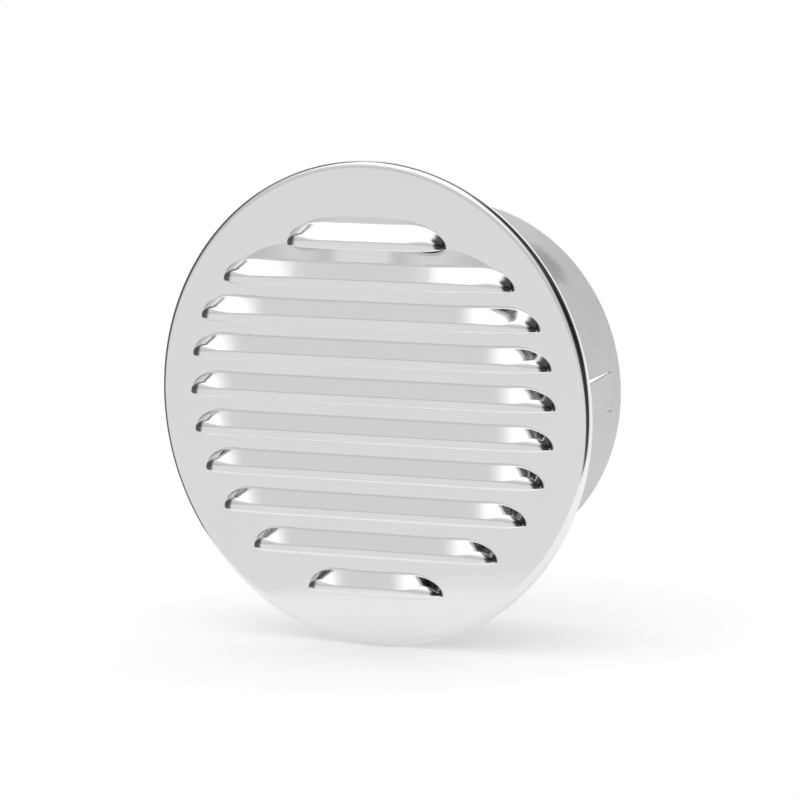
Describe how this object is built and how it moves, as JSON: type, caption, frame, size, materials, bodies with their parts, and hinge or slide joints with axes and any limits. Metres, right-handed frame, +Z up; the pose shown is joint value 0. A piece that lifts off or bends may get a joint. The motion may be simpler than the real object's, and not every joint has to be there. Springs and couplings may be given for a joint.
{
  "type": "round vent cover",
  "caption": "Round metal vent cover with pressed downward louvres, a rolled rim and a rear collar with lanced spring tongues that hold it in a round hole or duct.",
  "frame": {"origin": "on the cover's axis, in the plane of the wall that the back of the rolled rim touches", "axes": "+Z up, with the louvres opening downwards; the louvred face looks along -Y and the collar runs along +Y into the wall"},
  "size_m": [0.13, 0.0548, 0.13],
  "materials": {
    "plate": "satin, faintly brushed across",
    "screen": "plain drawn wire",
    "collar": "zinc coated, dull and faintly mottled"
  },
  "bodies": {
    "root": {"cover_plate": "plate", "insect_screen": "screen", "collar": "collar"}
  },
  "joints": []
}
